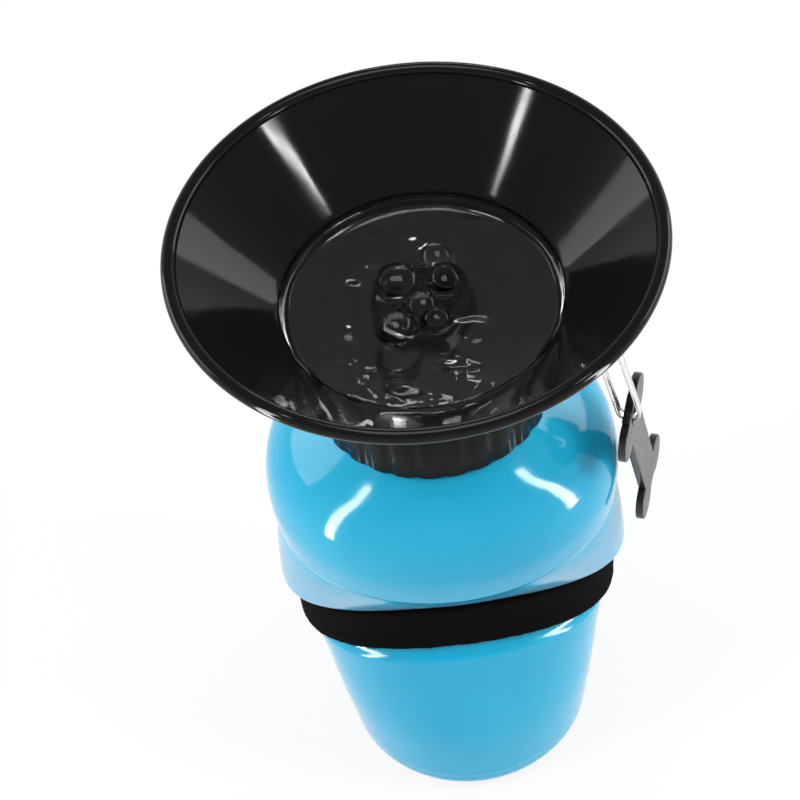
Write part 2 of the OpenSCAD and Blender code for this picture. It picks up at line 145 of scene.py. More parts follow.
class TagSizes(bpy.types.PropertyGroup):
    """Sizes of the link and the tag."""
    eye_reach: size("Eye reach", "Distance of the eye's bar from the axis", 48.5)
    eye_bar_r: size("Eye bar", "Radius of the eye's bar", 1.3)
    link_inner: size("Link half width", "Half width inside the link", 2.4)
    link_t: size("Link thickness", "Thickness of the link's strip", 1)
    link_w: size("Link width", "Width of the link's strip", 2.2)
    link_l: size("Link length", "Length between the centres of the link's ends", 23)
    tag_l: size("Tag length", "Length between the centres of the tag's lobes", 50)
    lobe_r: size("Lobe radius", "Radius of one lobe", 5.8)
    lobe_offset: size("Lobe offset", "Distance of a lobe from the tag's centre line", 6.6)
    shaft_half: size("Shaft half width", "Half width of the tag's shaft", 5.6)
    tag_t: size("Tag thickness", "Thickness of the tag", 2.2)
    bar_h: size("Bar", "Height of the bar that the link goes round", 2.4)
    ear_rise: size("Ear rise", "Height of the bar over the centres of the upper lobes", 5.2)
    ear_side: size("Ear side", "Width of the tag left on each side of the slot", 1.7)
    cleft: size("Cleft", "How far the cleft between two lobes is cut in from their ends", 2.6)
    side_room: size("Side room", "Room beside the link in the tag's slot", 1.4)
    eye_angle: bpy.props.FloatProperty(name="Eye angle", description="Direction of the eye round the bottle",
                                       default=math.radians(-20), subtype="ANGLE")
    link_lean: bpy.props.FloatProperty(name="Link lean", description="How far the link leans outwards",
                                       default=math.radians(12), subtype="ANGLE")
    tag_lean: bpy.props.FloatProperty(name="Tag lean", description="How far the tag leans along the side",
                                      default=math.radians(20), subtype="ANGLE")


class Colours(bpy.types.PropertyGroup):
    """Colours of the finishes, as linear values."""
    bottle: colour("Bottle", "The bottle's blue where it faces the light", (0.018, 0.46, 0.73))
    bottle_deep: colour("Deep blue", "The bottle's blue in its cloudier patches", (0.01, 0.4, 0.67))
    # painted sheen: a pale lilac cast painted over the skirt's wall, standing in for grazing light there
    skirt_painted_sheen: colour("Bottle bloom", "The milky lilac of the bottle's skirt", (0.24, 0.44, 0.62))
    bottle_sheen: colour("Bottle sheen", "The lilac bloom at the bottle's edges", (0.75, 0.72, 0.95))
    black: colour("Black", "The bowl's and the collar's black", (0.005, 0.005, 0.0052))
    strap: colour("Strap", "The strap's black", (0.002, 0.002, 0.0022))
    # painted reflection: the tag is dark, and this grey stands for the pale surround reflected in its flat
    # faces
    tag: colour("Tag", "The tag's grey face", (0.13, 0.13, 0.133))
    tag_edge: colour("Tag edge", "The tag's dark edge", (0.012, 0.012, 0.012))
    metal: colour("Metal", "The link's bright metal", (0.86, 0.85, 0.82))
    silicone: colour("Silicone", "The seals' pale silicone", (0.6, 0.6, 0.58))
    clear: colour("Clear plastic", "The dip tube", (0.82, 0.9, 0.94))


SETTINGS = {"bottle": BottleSizes, "collar": CollarSizes, "bowl": BowlSizes, "strap": StrapSizes,
            "tag": TagSizes, "colours": Colours}


def settings(group):
    """The scene's settings of one group."""
    return getattr(bpy.context.scene, "dog_bottle_" + group)


# ---------------------------------------------------------------- mesh helpers

def add_object(name, data):
    """A new object for a mesh, a curve, a lamp or a camera, in the scene."""
    made = bpy.data.objects.new(name, data)
    bpy.context.scene.collection.objects.link(made)
    return made


def new_piece(name, verts, faces, materials):
    """A mesh object from plain lists, with its normals turned outwards."""
    mesh = bpy.data.meshes.new(name)
    mesh.from_pydata([tuple(v) for v in verts], [], faces)
    for material in materials:
        mesh.materials.append(material)
    work = bmesh.new()
    work.from_mesh(mesh)
    bmesh.ops.recalc_face_normals(work, faces=work.faces)
    work.to_mesh(mesh)
    work.free()
    mesh.polygons.foreach_set("use_smooth", [True] * len(mesh.polygons))
    return add_object(name, mesh)


def sharpen(piece, degrees):
    """Marks the edges that turn by more than the angle, so that they shade as edges."""
    work = bmesh.new()
    work.from_mesh(piece.data)
    limit = math.radians(degrees)
    for edge in work.edges:
        edge.smooth = len(edge.link_faces) == 2 and edge.calc_face_angle(0) < limit
    work.to_mesh(piece.data)
    work.free()
    return piece


def strip_faces(rows, columns, loop_rows=False, start=0):
    """Quads between neighbouring rows of points; each row is a closed ring."""
    faces = []
    for i in range(rows if loop_rows else rows - 1):
        a, b = start + i * columns, start + (i + 1) % rows * columns
        for k in range(columns):
            q = (k + 1) % columns
            faces.append([a + k, a + q, b + q, b + k])
    return faces


def capped_faces(rows, columns, start=0):
    """Faces of a stack of rings of points, closed by a cap at each end."""
    last = start + (rows - 1) * columns
    caps = [list(range(start, start + columns)), list(range(last, last + columns))]
    return strip_faces(rows, columns, start=start) + caps


def lathe_rows(profile, segments):
    """Rows of points turned about the Z axis from (radius, height) pairs."""
    turns = [TURN * k / segments for k in range(segments)]
    return [(r * math.cos(a), r * math.sin(a), z) for r, z in profile for a in turns]


def arc(cx, cz, r, start, end, steps):
    """Points on an arc in a profile, from one angle to another in degrees."""
    turns = [math.radians(start + (end - start) * i / steps) for i in range(steps + 1)]
    return [(cx + r * math.cos(a), cz + r * math.sin(a)) for a in turns]


def rounded(points, rounds):
    """Cuts the corners of a run of points, so that its edges are softly rounded; its ends stay."""
    for _ in range(rounds):
        cut = [points[0]]
        for p, q in zip(points, points[1:]):
            cut.append(tuple(0.75 * a + 0.25 * b for a, b in zip(p, q)))
            cut.append(tuple(0.25 * a + 0.75 * b for a, b in zip(p, q)))
        points = cut + [points[-1]]
    return points


# ---------------------------------------------------------------- material helpers

# how far the painted sheen reaches up and down from the middle of the skirt
PAINTED_SHEEN_REACH = 14 * MM


def feed(tree, socket, value):
    """Gives a node's input a number, a colour, a direction or another node's output."""
    if isinstance(value, bpy.types.NodeSocket):
        tree.links.new(value, socket)
    else:
        socket.default_value = (*value, 1) if socket.type == "RGBA" else value


def add_node(tree, kind, output, **inputs):
    """The output of a new shader node, with its inputs given by name."""
    node = tree.nodes.new("ShaderNode" + kind)
    for name, value in inputs.items():
        feed(tree, node.inputs[name.replace("_", " ")], value)
    return node.outputs[output]


def math_node(tree, operation, *values):
    """The output of a math node."""
    node = tree.nodes.new("ShaderNodeMath")
    node.operation = operation
    for socket, value in zip(node.inputs, values):
        feed(tree, socket, value)
    return node.outputs[0]


class Finish:
    """A procedural material, built node by node."""

    def __init__(self, name, **values):
        self.material = bpy.data.materials.new(name)
        self.material.use_nodes = True
        self.tree = self.material.node_tree
        self.shader = self.tree.nodes["Principled BSDF"]
        for socket, value in values.items():
            self.set(socket.replace("_", " "), value)

    def set(self, socket, value):
        """Gives a shader input its value."""
        feed(self.tree, self.shader.inputs[socket], value)

    def place(self):
        """The shaded point's place in the object's own space."""
        return add_node(self.tree, "TexCoord", "Object")

    def noise(self, scale, detail=2.0, stretch=(1, 1, 1), distortion=0.0):
        """Noise in the object's own space; scale counts its cells in a metre."""
        place = add_node(self.tree, "Mapping", "Vector", Vector=self.place(), Scale=stretch)
        return add_node(self.tree, "TexNoise", "Fac", Vector=place, Scale=scale, Detail=detail,
                        Distortion=distortion)

    def ramp(self, value, low, high, start=0.35, end=0.65):
        """Maps values from start to end onto a run between two colours or two numbers."""
        if not hasattr(low, "__len__"):
            return add_node(self.tree, "MapRange", "Result", Value=value, From_Min=start, From_Max=end,
                            To_Min=low, To_Max=high)
        node = self.tree.nodes.new("ShaderNodeValToRGB")
        for element, position, tint in zip(node.color_ramp.elements, (start, end), (low, high)):
            element.position = position
            element.color = (*tint, 1)
        self.tree.links.new(value, node.inputs["Fac"])
        return node.outputs["Color"]

    def painted_sheen_band(self, base, sheen_colour, share):
        """Mixes a painted sheen colour over the skirt, from its lower edge up to the crease."""
        height = add_node(self.tree, "SeparateXYZ", "Z", Vector=self.place())
        middle = (skirt_z() + settings("bottle").crease_z) / 2
        away = math_node(self.tree, "ABSOLUTE", math_node(self.tree, "SUBTRACT", height, middle))
        sheen_mask = self.ramp(away, share, 0, PAINTED_SHEEN_REACH * 0.4, PAINTED_SHEEN_REACH)
        mix = self.tree.nodes.new("ShaderNodeMix")
        mix.data_type = "RGBA"
        for socket, value in (("Factor", sheen_mask), ("A", base), ("B", sheen_colour)):
            feed(self.tree, mix.inputs[socket], value)
        return mix.outputs["Result"]

    def bump(self, height, depth, strength):
        """Adds a bump of that depth in metres, over any bump already there."""
        under = {"Normal": link.from_socket for link in self.shader.inputs["Normal"].links}
        self.set("Normal", add_node(self.tree, "Bump", "Normal", Height=height, Distance=depth,
                                    Strength=strength, **under))

    def rough(self, scale, detail, low, high, stretch=(1, 1, 1)):
        """Lets the roughness wander between two values."""
        self.set("Roughness", self.ramp(self.noise(scale, detail, stretch), low, high))

    def grain(self, scale, detail, depth, strength, stretch=(1, 1, 1)):
        """Adds a bump of noise, its depth in metres."""
        self.bump(self.noise(scale, detail, stretch), depth, strength)


def soft_blue():
    """Glossy translucent sky-blue plastic, faintly cloudy, with a lilac bloom at its edges and a painted
    lilac sheen over the skirt.
    """
    colours = settings("colours")
    look = Finish("soft_blue", IOR=1.42, Specular_IOR_Level=0.3, Subsurface_Weight=0.35,
                  Subsurface_Radius=(0.3, 0.7, 1.0), Subsurface_Scale=0.006, Coat_Weight=0.15,
                  Coat_Roughness=0.05, Sheen_Weight=0.03, Sheen_Roughness=0.35,
                  Sheen_Tint=colours.bottle_sheen)
    blue = look.ramp(look.noise(22, 3, (1, 1, 0.7)), colours.bottle_deep, colours.bottle, 0.35, 0.7)
    # painted sheen: a pale lilac mixed into the blue over the skirt
    look.set("Base Color", look.painted_sheen_band(blue, colours.skirt_painted_sheen, 0.55))
    look.rough(180, 4, 0.08, 0.15)
    look.grain(55, 2, 0.0005, 0.35)
    look.grain(1900, 2, 0.00002, 0.3)
    return look.material


def gloss_black():
    """Polished black moulded plastic with faint handling marks."""
    look = Finish("gloss_black", Base_Color=settings("colours").black, IOR=1.5,
                  Specular_IOR_Level=0.18)
    look.rough(90, 5, 0.05, 0.1, (1, 1, 0.4))
    look.grain(30, 2, 0.0003, 0.25)
    look.grain(1400, 3, 0.00001, 0.25, (1, 1, 0.15))
    return look.material


def collar_black():
    """The collar's black plastic, a little less polished than the bowl."""
    look = Finish("collar_black", Base_Color=settings("colours").black, Specular_IOR_Level=0.08)
    look.rough(120, 4, 0.18, 0.28)
    look.grain(1400, 3, 0.00001, 0.25, (1, 1, 0.15))
    return look.material


def strap_black():
    """Brushed black loop webbing: a fine weave under a short nap."""
    look = Finish("strap_black", Roughness=0.92, Sheen_Weight=0.01, Sheen_Roughness=0.5,
                  Specular_IOR_Level=0.03)
    black = settings("colours").strap
    lighter = [1.8 * c for c in black]
    look.set("Base Color", look.ramp(look.noise(900, 4), black, lighter, 0.4, 0.75))
    look.grain(1300, 3, 0.0004, 0.9, (1, 1, 1.6))
    look.grain(4200, 2, 0.00015, 0.8)
    return look.material


def hook_black():
    """Black moulded hook tape, a grid of tiny stubs."""
    look = Finish("hook_black", Base_Color=settings("colours").strap, Roughness=0.55)
    stubs = add_node(look.tree, "TexVoronoi", "Distance", Vector=look.place(), Scale=900,
                     Randomness=0.3)
    look.bump(stubs, 0.0004, 0.9)
    return look.material


def silicone():
    """Pale translucent silicone."""
    look = Finish("seal_grey", IOR=1.41, Subsurface_Weight=0.3, Subsurface_Scale=0.002,
                  Base_Color=settings("colours").silicone)
    look.rough(400, 3, 0.38, 0.52)
    return look.material


def clear_tube():
    """Clear extruded tube with faint lines drawn along it."""
    look = Finish("tube_clear", IOR=1.49, Transmission_Weight=0.85,
                  Base_Color=settings("colours").clear)
    look.rough(700, 2, 0.06, 0.16, (1, 1, 0.02))
    return look.material


def ring_rubber():
    """Satin black rubber with a light bloom."""
    black = settings("colours").black
    look = Finish("ring_rubber", Sheen_Weight=0.12, Sheen_Roughness=0.4)
    look.set("Base Color", look.ramp(look.noise(260, 4), black, [2.2 * c for c in black]))
    look.rough(500, 3, 0.4, 0.6)
    look.grain(2500, 2, 0.00003, 0.5)
    return look.material


def bright_metal():
    """Bright plated strip with a rolled grain."""
    look = Finish("link_metal", Metallic=1.0, Base_Color=settings("colours").metal)
    look.rough(1500, 4, 0.12, 0.3, (1, 1, 0.08))
    look.grain(3000, 2, 0.00002, 0.4, (1, 1, 0.1))
    return look.material


def tag_grey():
    """Satin charcoal face of the tag, its grey a painted reflection of the pale surround on the tag's black.
    """
    grey = settings("colours").tag
    look = Finish("tag_grey", IOR=1.45)
    look.set("Base Color", look.ramp(look.noise(300, 4), [0.93 * c for c in grey], grey))
    look.rough(900, 3, 0.42, 0.55)
    look.grain(3500, 2, 0.00003, 0.5)
    return look.material


def tag_dark():
    """Dark glossy edge of the tag."""
    look = Finish("tag_dark", Base_Color=settings("colours").tag_edge)
    look.rough(700, 3, 0.24, 0.36)
    look.grain(2000, 2, 0.00003, 0.4)
    return look.material


def water():
    """Clear water."""
    look = Finish("water_clear", Base_Color=(1.0, 1.0, 1.0), Roughness=0.0, IOR=1.333,
                  Transmission_Weight=1.0)
    look.bump(look.noise(120, 2, distortion=0.6), 0.0003, 0.35)
    return look.material


FINISHES = {}


def finish(make):
    """The material that a function makes, made once."""
    if make not in FINISHES:
        FINISHES[make] = make()
    return FINISHES[make]


def dress_node(node, make):
    """Gives a carried-over CAD node its finish."""
    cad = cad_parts[node]
    cad.data.materials.clear()
    cad.data.materials.append(finish(make))


# ---------------------------------------------------------------- bottle

def catmull(a, b, c, d, t):
    """A point on the smooth curve between b and c."""
    return tuple(0.5 * (2 * q + (r - p) * t + (2 * p - 5 * q + 4 * r - s) * t * t
                        + (3 * q - p - 3 * r + s) * t ** 3) for p, q, r, s in zip(a, b, c, d))


def smooth_run(stations, steps):
    """A smooth run through stations, ends included."""
    last = len(stations) - 1
    run = [catmull(stations[max(i - 1, 0)], stations[i], stations[i + 1], stations[min(i + 2, last)],
                   k / steps) for i in range(last) for k in range(steps)]
    return run + [stations[last]]


# steps between two stations of the wall, and points round one ring
SPAN_STEPS = 9
WALL_SEGMENTS = 200
# height of the rounded edges at the groove, the skirt and the crease
EDGE = 1.6 * MM
# room between pieces that move past each other
FREE_GAP = 0.3 * MM
# at its lower edge the strap's groove is that much deeper, and has that share of the waist's rise
GROOVE_FLARE = 1.6 * MM
GROOVE_LOW_RISE = 0.84
# where the threads start round the neck and over the land, their length in turns, how deep they are rooted
# in their wall, and the steps in a turn and in a tapered end
THREAD_START = math.radians(200)
NECK_THREAD_Z = 5 * MM
COLLAR_THREAD_Z = 3 * MM
THREAD_TURNS = 1.25
THREAD_ROOT = 0.3 * MM
THREAD_STEPS = 96
THREAD_TAPER = 9


def skirt_z():
    """Height of the skirt's lower edge at the sides."""
    return settings("bottle").waist_z + settings("strap").width + 3 * FREE_GAP


def land_r():
    """Radius of the flat land round the neck."""
    return settings("bottle").neck_r + settings("collar").room - 1 * MM


# A station is one ring of the wall: its height, half width, half depth and rise at the front and back. The
# named rings carry the sizes. The others lie between them at shares of their heights, and their offsets in
# millimetres make the wall fuller or slimmer there. t is how far a skin lies inside the outer one.

def base_stations(b, t):
    """The base's rolled corner."""
    corner = arc(b.base_r - b.base_corner, b.base_corner, b.base_corner - t, -90, 0, 12)
    return [(z, r, r, 0) for r, z in corner]


def lower_stations(b, t):
    """The lower body, up to the waist."""
    return smooth_run([
        (b.base_corner + 2 * MM, b.base_r + 0.4 * MM - t, b.base_r + 0.4 * MM - t, 0),
        (b.waist_z * 0.5, (b.base_r + b.lower_half_width) / 2 - 0.6 * MM - t,
         (b.base_r + b.lower_half_depth) / 2 + 2.2 * MM - t, b.waist_rise * 0.14),
        (b.waist_z * 0.8, b.lower_half_width - 2 * MM - t, b.lower_half_depth + 1.4 * MM - t,
         b.waist_rise * 0.46),
        (b.waist_z, b.lower_half_width - t, b.lower_half_depth - t, b.waist_rise * 0.76)], SPAN_STEPS)


def waist_stations(b, t):
    """The groove that the strap lies in."""
    half_strap = settings("strap").width / 2
    return [
        (b.waist_z + EDGE, b.waist_half_width - t, b.waist_half_depth + GROOVE_FLARE - t,
         b.waist_rise * GROOVE_LOW_RISE),
        (b.waist_z + half_strap, b.waist_half_width + 0.2 * MM - t, b.waist_half_depth - t, b.waist_rise),
        (skirt_z() - EDGE / 2 + t * 0.6, b.waist_half_width + 0.8 * MM - t, b.waist_half_depth - t,
         b.waist_rise)]


def skirt_stations(b, t):
    """The skirt that overhangs the groove, up to the crease."""
    low = skirt_z() + t * 0.6
    return smooth_run([
        (low, b.skirt_half_width - 1.4 * MM - t, b.skirt_half_depth - 1.2 * MM - t, b.waist_rise),
        (low + EDGE, b.skirt_half_width - t, b.skirt_half_depth - t, b.waist_rise * 0.97),
        ((skirt_z() + b.crease_z) / 2, (b.skirt_half_width + b.crease_half_width) / 2 + 0.4 * MM - t,
         (b.skirt_half_depth + b.crease_half_depth) / 2 - t, b.waist_rise * 0.52),
        (b.crease_z - t * 0.3, b.crease_half_width - t, b.crease_half_depth - t, b.waist_rise * 0.08)],
        SPAN_STEPS)


def shoulder_stations(b, t):
    """The dome over the crease, in to the neck."""
    h = b.land_z - b.shoulder_z
    land = land_r()
    return smooth_run([
        (b.crease_z + EDGE, b.crease_half_width + 0.25 * MM - t, b.crease_half_depth + 0.8 * MM - t,
         b.waist_rise * 0.06),
        (b.shoulder_z - t * 0.1, b.shoulder_half_width - t, b.shoulder_half_depth - t, 0),
        (b.shoulder_z + h * 0.36 - t * 0.3, b.shoulder_half_width - 1.7 * MM - t,
         b.shoulder_half_depth - 0.7 * MM - t, 0),
        (b.shoulder_z + h * 0.62 - t * 0.7, b.shoulder_half_width - 6.3 * MM - t * 0.8,
         b.shoulder_half_depth - 3.6 * MM - t * 0.8, 0),
        (b.shoulder_z + h * 0.83 - t * 0.85, land + 7.4 * MM - t * 0.6, land + 6.8 * MM - t * 0.6, 0),
        (b.land_z - 0.9 * MM - t, land + 2.6 * MM - t * 0.4, land + 2.6 * MM - t * 0.4, 0)],
        SPAN_STEPS)


def wall_stations(b, t):
    """All stations of the skin that lies t inside the outer one, from the base up."""
    body = base_stations(b, t) + lower_stations(b, t) + waist_stations(b, t) + skirt_stations(b, t)
    return rounded(body + shoulder_stations(b, t), 2)


def ring_points(stations, segments):
    """One ring of points for each station; the rise lifts its front and back."""
    turns = [TURN * k / segments for k in range(segments)]
    return [(w * math.cos(a), d * math.sin(a), z + rise * math.sin(a) ** 2)
            for z, w, d, rise in stations for a in turns]


def thread(r, z, depth, start):
    """Points and faces of a thread's ridge with tapered ends: positive depth stands outwards."""
    b = settings("bottle")
    root = r - math.copysign(THREAD_ROOT, depth)
    count = round(THREAD_STEPS * THREAD_TURNS)
    points = []
    for i in range(count + 1):
        a = THREAD_START + TURN * i / THREAD_STEPS
        taper = min(1, min(i, count - i) / THREAD_TAPER + 0.1)
        tip = root + (r + depth - root) * taper
        middle = z + b.thread_pitch * i / THREAD_STEPS
        # the ridge's section, its heights as shares of its width
        section = [(root, -0.5), (tip, -0.28), (tip, 0.28), (root, 0.5)]
        points += [(p * math.cos(a), p * math.sin(a), middle + b.thread_width * q) for p, q in section]
    return points, capped_faces(count + 1, 4, start)


def bottle_piece():
    """The bottle as one skin: up the outside and the neck, down the inside, and its thread."""
    b = settings("bottle")
    neck_top = b.land_z + b.neck_h
    neck_in = b.neck_r - b.neck_wall
    neck = [(neck_top - 0.5 * MM, b.neck_r), (neck_top, b.neck_r - 0.4 * MM), (neck_top, neck_in + 0.4 * MM),
            (neck_top - 0.5 * MM, neck_in), (b.land_z - b.wall, neck_in)]
    land = [(b.land_z, land_r()), (b.land_z, b.neck_r)]
    middle = [(z, r, r, 0) for z, r in land + neck]
    stations = wall_stations(b, 0) + middle + list(reversed(wall_stations(b, b.wall)))
    points = ring_points(stations, WALL_SEGMENTS)
    ridge, ridge_faces = thread(b.neck_r, b.land_z + NECK_THREAD_Z, b.thread_depth, len(points))
    faces = capped_faces(len(stations), WALL_SEGMENTS) + ridge_faces
    return sharpen(new_piece("bottle_skin", points + ridge, faces, [finish(soft_blue)]), 50)


# ---------------------------------------------------------------- strap

STRAP_STEPS = 260
# where the hook patch and the free end lie round the waist, in degrees from the right side
PATCH_SPAN = (126, 162)
END_SPAN = (118, 168)
# room between the layers of the closure
LAYER_GAP = 0.05 * MM


def strap_point(a, z, t):
    """A point on the strap's path round the waist, pushed out by t and up by z."""
    b = settings("bottle")
    f = z / settings("strap").width
    lift = b.waist_rise * (GROOVE_LOW_RISE + (1 - GROOVE_LOW_RISE) * min(1, 2 * f))
    inner = GROOVE_FLARE * (1 - 2 * f) if f < 0.5 else 0
    return Vector(((b.waist_half_width + 0.7 * MM * f + FREE_GAP + t) * math.cos(a),
                   (b.waist_half_depth + inner + FREE_GAP + t) * math.sin(a),
                   b.waist_z + 2 * FREE_GAP + z + lift * math.sin(a) ** 2))


def band_section(low, high, inside, outside, flat_steps=7):
    """A strap's cross-section, (height, depth) pairs: two flat sides and two rounded edges."""
    r = (outside - inside) / 2
    middle = (inside + outside) / 2
    flat = [low + r + (high - low - 2 * r) * i / flat_steps for i in range(flat_steps)]
    return ([(z, inside) for z in flat] + arc(high - r, middle, r, -90, 90, 6)
            + [(z, outside) for z in reversed(flat[1:])] + arc(low + r, middle, r, 90, 270, 6)[:-1])


def nap(point, depth):
    """A little unevenness, the same each run."""
    return depth * noise.noise(point * 450) + 0.5 * depth * noise.noise(point * 1400)


def band_points(section, turns, wobble):
    """The section swept along the strap's path."""
    points = []
    for a in turns:
        for z, t in section:
            p = strap_point(a, z, t)
            away = Vector((p.x, p.y, 0)).normalized()
            points.append(p + away * min(0, nap(p, wobble)) + Vector((0, 0, nap(p.yzx, wobble))))
    return points


def edge_fibres(turns, low, high, inside, outside, count, seed):
    """Short fibres that stand out of a strap's two edges, as thin three-sided spikes."""
    rng = random.Random(seed)
    longest = settings("strap").fibre
    points, faces = [], []
    for _ in range(count):
        a = rng.uniform(turns[0], turns[-1])
        at_top = rng.random() < 0.5
        t = rng.uniform(inside + 0.2 * MM, outside - 0.1 * MM)
        root = strap_point(a, high - 0.1 * MM if at_top else low + 0.1 * MM, t)
        out = Vector((root.x, root.y, 0)).normalized()
        along = Vector((0, 0, 1)).cross(out)
        way = Vector((0, 0, 1 if at_top else -1)) + out * rng.uniform(-0.1, 0.5)
        way += along * rng.uniform(-0.9, 0.9)
        tip = root + way.normalized() * longest * rng.uniform(0.35, 1)
        base = len(points)
        half = rng.uniform(0.03, 0.07) * MM
        points += [root + along * half, root - along * half, root + out * half, tip]
        faces += [[base, base + 1, base + 3], [base + 1, base + 2, base + 3],
                  [base + 2, base, base + 3], [base, base + 2, base + 1]]
    return points, faces


def strap_band_piece():
    """The band round the waist, napped, with a fringe of fibres at both edges."""
    s = settings("strap")
    low, high = s.edge_round, s.width - s.edge_round / 2
    section = band_section(low, high, 0, s.thickness)
    turns = [TURN * k / STRAP_STEPS for k in range(STRAP_STEPS)]
    points = band_points(section, turns, 0.25 * MM)
    faces = strip_faces(STRAP_STEPS, len(section), loop_rows=True)
    fibres, spikes = edge_fibres([0, TURN], low, high, 0, s.thickness, 3600, 4)
    spikes = [[i + len(points) for i in face] for face in spikes]
    return new_piece("strap_band", points + fibres, faces + spikes, [finish(strap_black)])


def strap_end_piece(name, span, low, high, inside, outside, make, fibres):
    """A length of strap that lies over the band."""
    start, end = span
    section = band_section(low, high, inside, outside)
    count = 60
    turns = [math.radians(start + (end - start) * k / count) for k in range(count + 1)]
    points = band_points(section, turns, 0.2 * MM if fibres else 0)
    faces = capped_faces(count + 1, len(section))
    if fibres:
        extra, spikes = edge_fibres(turns, low, high, inside, outside, fibres, 9)
        faces += [[i + len(points) for i in face] for face in spikes]
        points += extra
    return sharpen(new_piece(name, points, faces, [finish(make)]), 60)


# ---------------------------------------------------------------- collar and bowl

def collar_piece():
    """The fluted collar: wall, rounded edges, lip and the thread inside."""
    b, c, w = settings("bottle"), settings("collar"), settings("bowl")
    low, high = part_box("screw_collar")
    flange_r = w.stem_r + w.flange_reach
    bore = max(b.neck_r + c.room, flange_r + FREE_GAP)
    outer = bore + c.wall
    lip_bore = flange_r - c.lip_catch
    top, bottom = high.z, low.z
    lip_under = top - c.lip_t
    steps = 14
    columns = c.flute_count * steps
    cutter = outer + c.flute_r - c.flute_depth
    flute_half = math.acos((outer ** 2 + cutter ** 2 - c.flute_r ** 2) / (2 * outer * cutter))

    def outline(a):
        """The wall's radius at an angle: round ribs between scooped flutes."""
        step = TURN / c.flute_count
        near = abs((a + step / 2) % step - step / 2)
        if near >= flute_half:
            return outer
        return cutter * math.cos(near) - math.sqrt(c.flute_r ** 2 - (cutter * math.sin(near)) ** 2)

    rounds = arc(c.edge, c.edge, c.edge, 270, 180, 4)
    profile = [(1, -inset, bottom + rise) for inset, rise in rounds]
    profile += [(1, -inset, top - drop) for inset, drop in reversed(rounds)]
    profile += [(0, lip_bore + 0.3 * MM, top), (0, lip_bore, top - 0.3 * MM), (0, lip_bore, lip_under),
                (0, bore, lip_under), (0, bore, bottom + 0.3 * MM), (0, bore + 0.3 * MM, bottom)]
    points = []
    for follows, value, z in profile:
        for k in range(columns):
            a = TURN * k / columns
            r = outline(a) + value if follows else value
            points.append((r * math.cos(a), r * math.sin(a), z))
    ridge, ridge_faces = thread(bore, b.land_z + COLLAR_THREAD_Z, -b.thread_depth, len(points))
    faces = strip_faces(len(profile), columns, loop_rows=True) + ridge_faces
    return sharpen(new_piece("fluted_collar", points + ridge, faces, [finish(collar_black)]), 35)


def bowl_foot_z():
    """Height of the bowl's underside, over the tag ring."""
    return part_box("tag_ring")[1].z + 2 * FREE_GAP


def bowl_profile():
    """The bowl's closed profile, (radius, height) pairs."""
    w = settings("bowl")
    b = settings("bottle")
    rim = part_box("drinking_bowl")[1]
    rim_r, rim_z = rim.x, rim.z
    flange_z = b.land_z + b.neck_h + w.gasket_t
    bowl_z = bowl_foot_z()
    floor_z = bowl_z + w.shell_t
    cone_z = floor_z + w.well_depth
    flange_r = w.stem_r + w.flange_reach
    flange_top = flange_z + w.flange_t
    outer_foot = w.inside_foot + w.shell_t
    profile = [(w.stem_r - w.shell_t, bowl_z), (w.stem_r - w.shell_t, flange_z), (flange_r, flange_z),
               (flange_r, flange_top), (w.stem_r, flange_top), (w.stem_r, bowl_z)]
    profile += arc(w.well_r - w.inside_foot, bowl_z + outer_foot, outer_foot, -90, 0, 14)
    profile += [(w.well_r + w.shell_t, cone_z - 0.4 * MM)]
    profile += [(rim_r - 2.2 * w.rim_roll, rim_z - 2.6 * w.rim_roll),
                (rim_r - 1.4 * w.rim_roll, rim_z - 1.9 * w.rim_roll)]
    profile += arc(rim_r - w.rim_roll, rim_z - w.rim_roll, w.rim_roll, -90, 180, 30)
    profile += [(w.well_r + 1.5 * MM, cone_z + 0.9 * MM), (w.well_r + 0.4 * MM, cone_z + 0.15 * MM),
                (w.well_r, cone_z - 0.8 * MM)]
    profile += arc(w.well_r - w.inside_foot, floor_z + w.inside_foot, w.inside_foot, 0, -90, 12)
    profile += [(w.hole_r, floor_z), (w.hole_r, bowl_z)]
    return profile


def bowl_piece():
    """The drinking bowl, turned in one piece with its stem."""
    profile = bowl_profile()
    segments = 256
    faces = strip_faces(len(profile), segments, loop_rows=True)
    return sharpen(new_piece("bowl_shell", lathe_rows(profile, segments), faces, [finish(gloss_black)]), 30)


# the water wells up over the outlet in domes: centre, height and radius in millimetres
WATER_HUMPS = ((-5.6, 5.4, 5.2, 6.2), (5.2, 11.4, 4.4, 5.0), (6.9, 4.2, 4.2, 5.2), (-7.2, -10.4, 4.8, 5.2),
               (-0.3, -3.4, 3.8, 4.4), (3.1, -8.8, 3.4, 4.2))
# height of the ripples, and the radius at which they die out
RIPPLE_HEIGHT = 1.1 * MM
RIPPLE_REACH = 36 * MM


def water_height(x, y):
    """How far the water stands over its level: domes over the outlet, and ripples round them."""
    rise = 0
    for cx, cy, height, width in WATER_HUMPS:
        d = math.hypot(x - cx * MM, y - cy * MM) / (width * MM)
        rise = max(rise, height * MM * math.sqrt(max(0, 1 - d * d)))
    lively = max(0, 1 - (math.hypot(x, y) / RIPPLE_REACH) ** 6)
    ripple = noise.noise(Vector((x, y * 1.2, 0)) * 85) + 0.3 * noise.noise(Vector((x, y, 0.3)) * 230)
    return rise + lively * RIPPLE_HEIGHT * ripple


